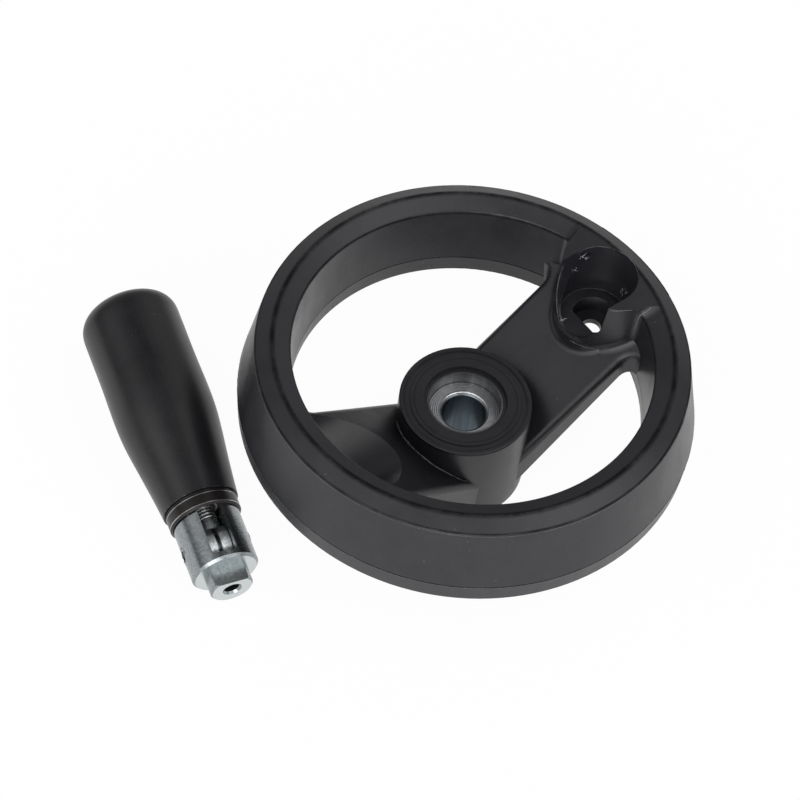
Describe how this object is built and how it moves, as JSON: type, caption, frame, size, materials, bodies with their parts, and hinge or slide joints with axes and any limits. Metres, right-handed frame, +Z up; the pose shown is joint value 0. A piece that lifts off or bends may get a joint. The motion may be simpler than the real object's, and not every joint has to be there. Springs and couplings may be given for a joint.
{
  "type": "machine handwheel",
  "caption": "Dished two-spoke plastic machine handwheel with a steel hub bush, and its fold-away revolving handle lying beside it, off its socket.",
  "frame": {"origin": "centre of the hub's foot, where the shaft bore opens", "axes": "+Z up the shaft bore towards the rim's crest, +X along the spoke with the handle's socket, +Y to its left"},
  "size_m": [0.1498, 0.1503, 0.0531],
  "materials": {
    "wheel_plastic": "black glass-filled moulding, fine matte texture",
    "grip_plastic": "black moulding, satin from handling",
    "zinc_steel": "bright zinc plate over turned steel",
    "dark_steel": "blackened turned steel, brownish",
    "spring_steel": "oiled spring steel"
  },
  "bodies": {
    "root": {"wheel_body": "wheel_plastic", "hub_bush": "zinc_steel", "handle_base": "zinc_steel", "cross_pin": "spring_steel"},
    "bolt": {"swing_bolt": "zinc_steel", "lock_nut": "zinc_steel", "spring_washer": "zinc_steel", "lock_spring": "spring_steel"},
    "sleeve": {"lock_sleeve": "dark_steel", "grip_clip": "spring_steel"},
    "grip": {"grip": "grip_plastic"}
  },
  "joints": [
    {"name": "handle_fold", "type": "hinge", "parent": "root", "child": "bolt", "pos_m": [-0.07627, 0.00884, 0.01], "axis": [0.9611, -0.2761, 0], "range_deg": [0, 90]},
    {"name": "handle_pull", "type": "slide", "parent": "bolt", "child": "sleeve", "axis": [0.2749, 0.9568, 0.0943], "range_m": [0, 0.004], "stiffness_N_per_m": 2500, "springref_m": -0.008, "deforming": ["lock_spring"]},
    {"name": "grip_spin", "type": "hinge", "parent": "sleeve", "child": "grip", "pos_m": [-0.06747, 0.03945, 0.01301], "axis": [0.2749, 0.9568, 0.0943], "continuous": true}
  ]
}
